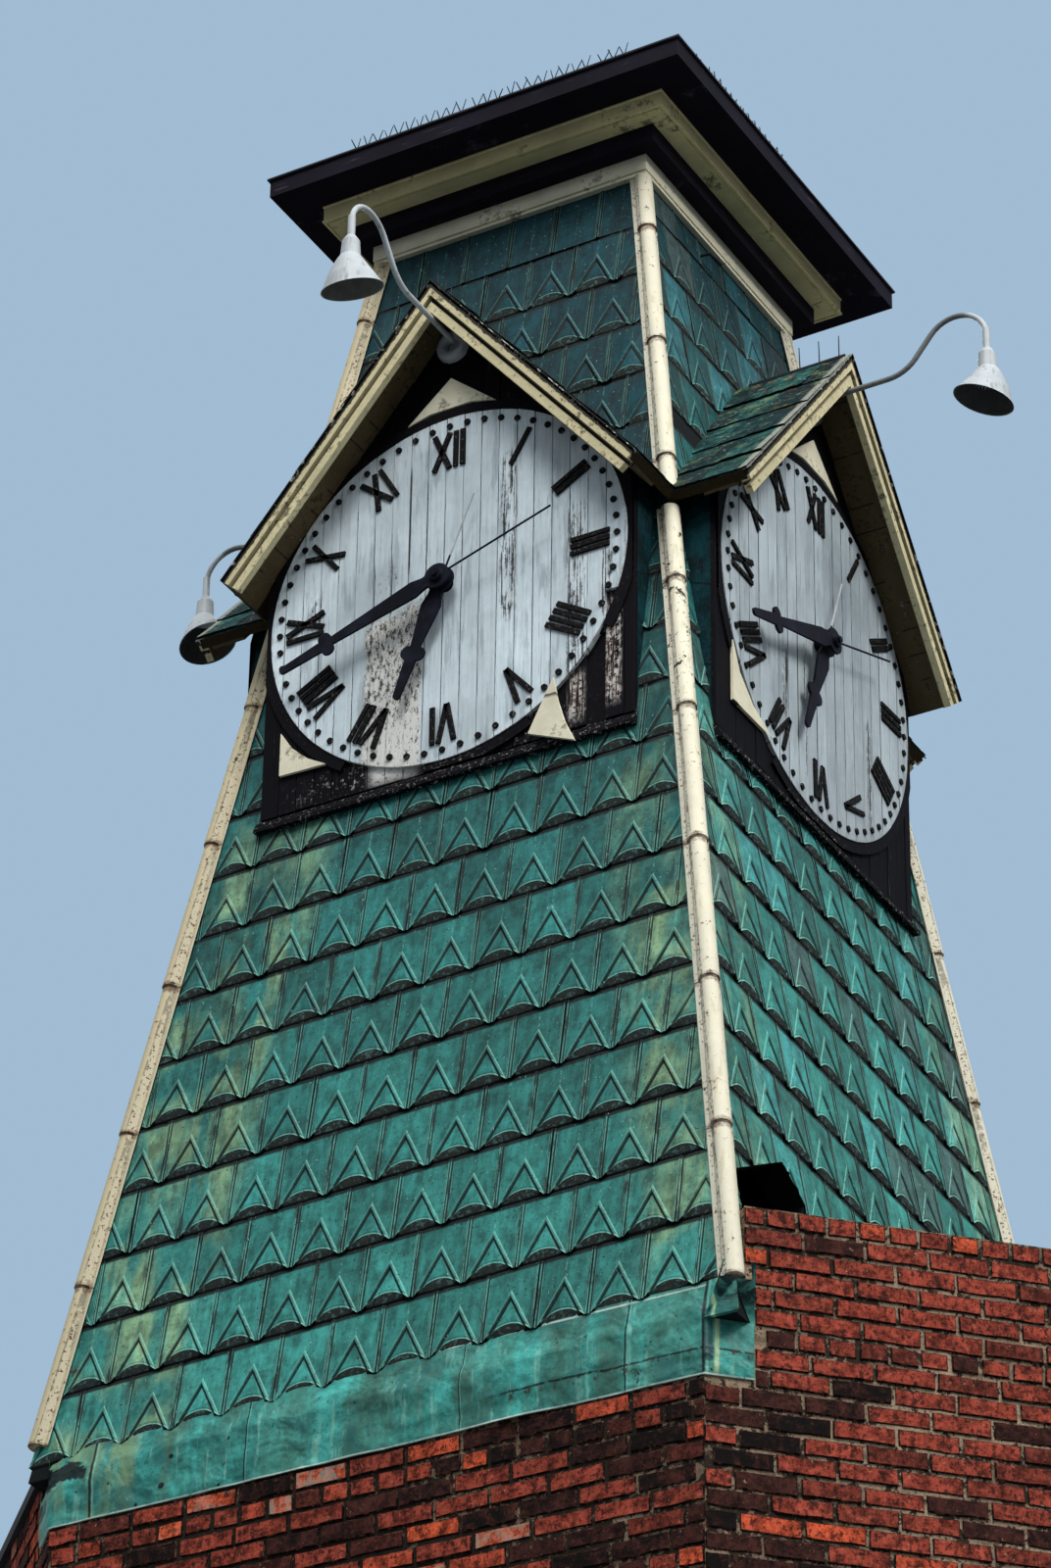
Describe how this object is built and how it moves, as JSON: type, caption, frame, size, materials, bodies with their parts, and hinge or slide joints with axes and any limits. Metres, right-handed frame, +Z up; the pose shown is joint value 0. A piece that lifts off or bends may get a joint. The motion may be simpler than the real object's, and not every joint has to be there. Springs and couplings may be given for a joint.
{
  "type": "clock tower",
  "caption": "Clock tower on a brick building's cut-off corner: battered walls of green metal shingles, gabled dials with turning hands, gooseneck lamps and a flat overhanging roof.",
  "frame": {"origin": "on the tower's upright axis at ground level, the middle of the foot of its box", "axes": "+Z up; -Y out of the front, the face of the building's cut-off corner; +X to the right of someone facing it"},
  "size_m": [5.916, 3.7016, 15.541],
  "materials": {
    "brick": "rough fired clay brick with lime mortar",
    "coping_metal": "dark folded metal",
    "roof_felt": "flat felt roof",
    "shingle_metal": "pressed metal shingles, weathered green paint",
    "roll_metal": "cream paint with rust at the laps",
    "skirt_metal": "dented sheet metal, weathered green paint",
    "cream_wood": "weathered cream paint",
    "dark_wood": "near-black peeling paint",
    "roof_edge": "near-black purple paint",
    "roof_metal": "flat seam metal roof",
    "dial_wood": "white painted boards, peeling",
    "hand_metal": "black paint",
    "gable_shingle": "green metal shingles with moss and rust",
    "lamp_enamel": "pale grey enamel"
  },
  "bodies": {
    "tower": {"front_brick_wall": "brick", "right_street_wall": "brick", "left_street_wall": "brick", "right_party_wall": "brick", "left_party_wall": "brick", "rear_brick_wall": "brick", "parapet_coping": "coping_metal", "roof_deck": "roof_felt", "front_tower_wall": "shingle_metal", "right_tower_wall": "shingle_metal", "back_tower_wall": "shingle_metal", "left_tower_wall": "shingle_metal", "front_right_hip_roll": "roll_metal", "back_right_hip_roll": "roll_metal", "back_left_hip_roll": "roll_metal", "front_left_hip_roll": "roll_metal", "skirt_flashing": "skirt_metal", "frieze_board": "cream_wood", "cornice_bed": "dark_wood", "crown_moulding": "cream_wood", "roof_slab": "roof_edge", "roof_cap": "roof_metal", "front_dial_case": "dark_wood", "front_dial": "dial_wood", "front_gable_roof": "gable_shingle", "front_bargeboards": "cream_wood", "front_lamp": "lamp_enamel", "right_dial_case": "dark_wood", "right_dial": "dial_wood", "right_gable_roof": "gable_shingle", "right_bargeboards": "cream_wood", "right_lamp": "lamp_enamel", "back_dial_case": "dark_wood", "back_dial": "dial_wood", "back_gable_roof": "gable_shingle", "back_bargeboards": "cream_wood", "back_lamp": "lamp_enamel", "left_dial_case": "dark_wood", "left_dial": "dial_wood", "left_gable_roof": "gable_shingle", "left_bargeboards": "cream_wood", "left_lamp": "lamp_enamel"},
    "front_hour_hand": {"front_hour_hand": "hand_metal"},
    "front_minute_hand": {"front_minute_hand": "hand_metal"},
    "right_hour_hand": {"right_hour_hand": "hand_metal"},
    "right_minute_hand": {"right_minute_hand": "hand_metal"},
    "back_hour_hand": {"back_hour_hand": "hand_metal"},
    "back_minute_hand": {"back_minute_hand": "hand_metal"},
    "left_hour_hand": {"left_hour_hand": "hand_metal"},
    "left_minute_hand": {"left_minute_hand": "hand_metal"}
  },
  "joints": [
    {"name": "front_minute_turn", "type": "hinge", "parent": "tower", "child": "front_minute_hand", "pos_m": [0, -1.018, 13.08], "axis": [0, 1, 0], "continuous": true},
    {"name": "front_hour_turn", "type": "hinge", "parent": "tower", "child": "front_hour_hand", "pos_m": [0, -1.018, 13.08], "axis": [0, 1, 0], "continuous": true},
    {"name": "right_minute_turn", "type": "hinge", "parent": "tower", "child": "right_minute_hand", "pos_m": [1.018, 0, 13.08], "axis": [-1, 0, 0], "continuous": true},
    {"name": "right_hour_turn", "type": "hinge", "parent": "tower", "child": "right_hour_hand", "pos_m": [1.018, 0, 13.08], "axis": [-1, 0, 0], "continuous": true},
    {"name": "back_minute_turn", "type": "hinge", "parent": "tower", "child": "back_minute_hand", "pos_m": [0, 1.018, 13.08], "axis": [0, -1, 0], "continuous": true},
    {"name": "back_hour_turn", "type": "hinge", "parent": "tower", "child": "back_hour_hand", "pos_m": [0, 1.018, 13.08], "axis": [0, -1, 0], "continuous": true},
    {"name": "left_minute_turn", "type": "hinge", "parent": "tower", "child": "left_minute_hand", "pos_m": [-1.018, 0, 13.08], "axis": [1, 0, 0], "continuous": true},
    {"name": "left_hour_turn", "type": "hinge", "parent": "tower", "child": "left_hour_hand", "pos_m": [-1.018, 0, 13.08], "axis": [1, 0, 0], "continuous": true}
  ],
  "couplings": [
    {"joint": "front_hour_turn", "follows": "front_minute_turn", "ratio": 0.083333},
    {"joint": "right_minute_turn", "follows": "front_minute_turn", "ratio": 1},
    {"joint": "right_hour_turn", "follows": "front_minute_turn", "ratio": 0.083333},
    {"joint": "back_minute_turn", "follows": "front_minute_turn", "ratio": 1},
    {"joint": "back_hour_turn", "follows": "front_minute_turn", "ratio": 0.083333},
    {"joint": "left_minute_turn", "follows": "front_minute_turn", "ratio": 1},
    {"joint": "left_hour_turn", "follows": "front_minute_turn", "ratio": 0.083333}
  ]
}
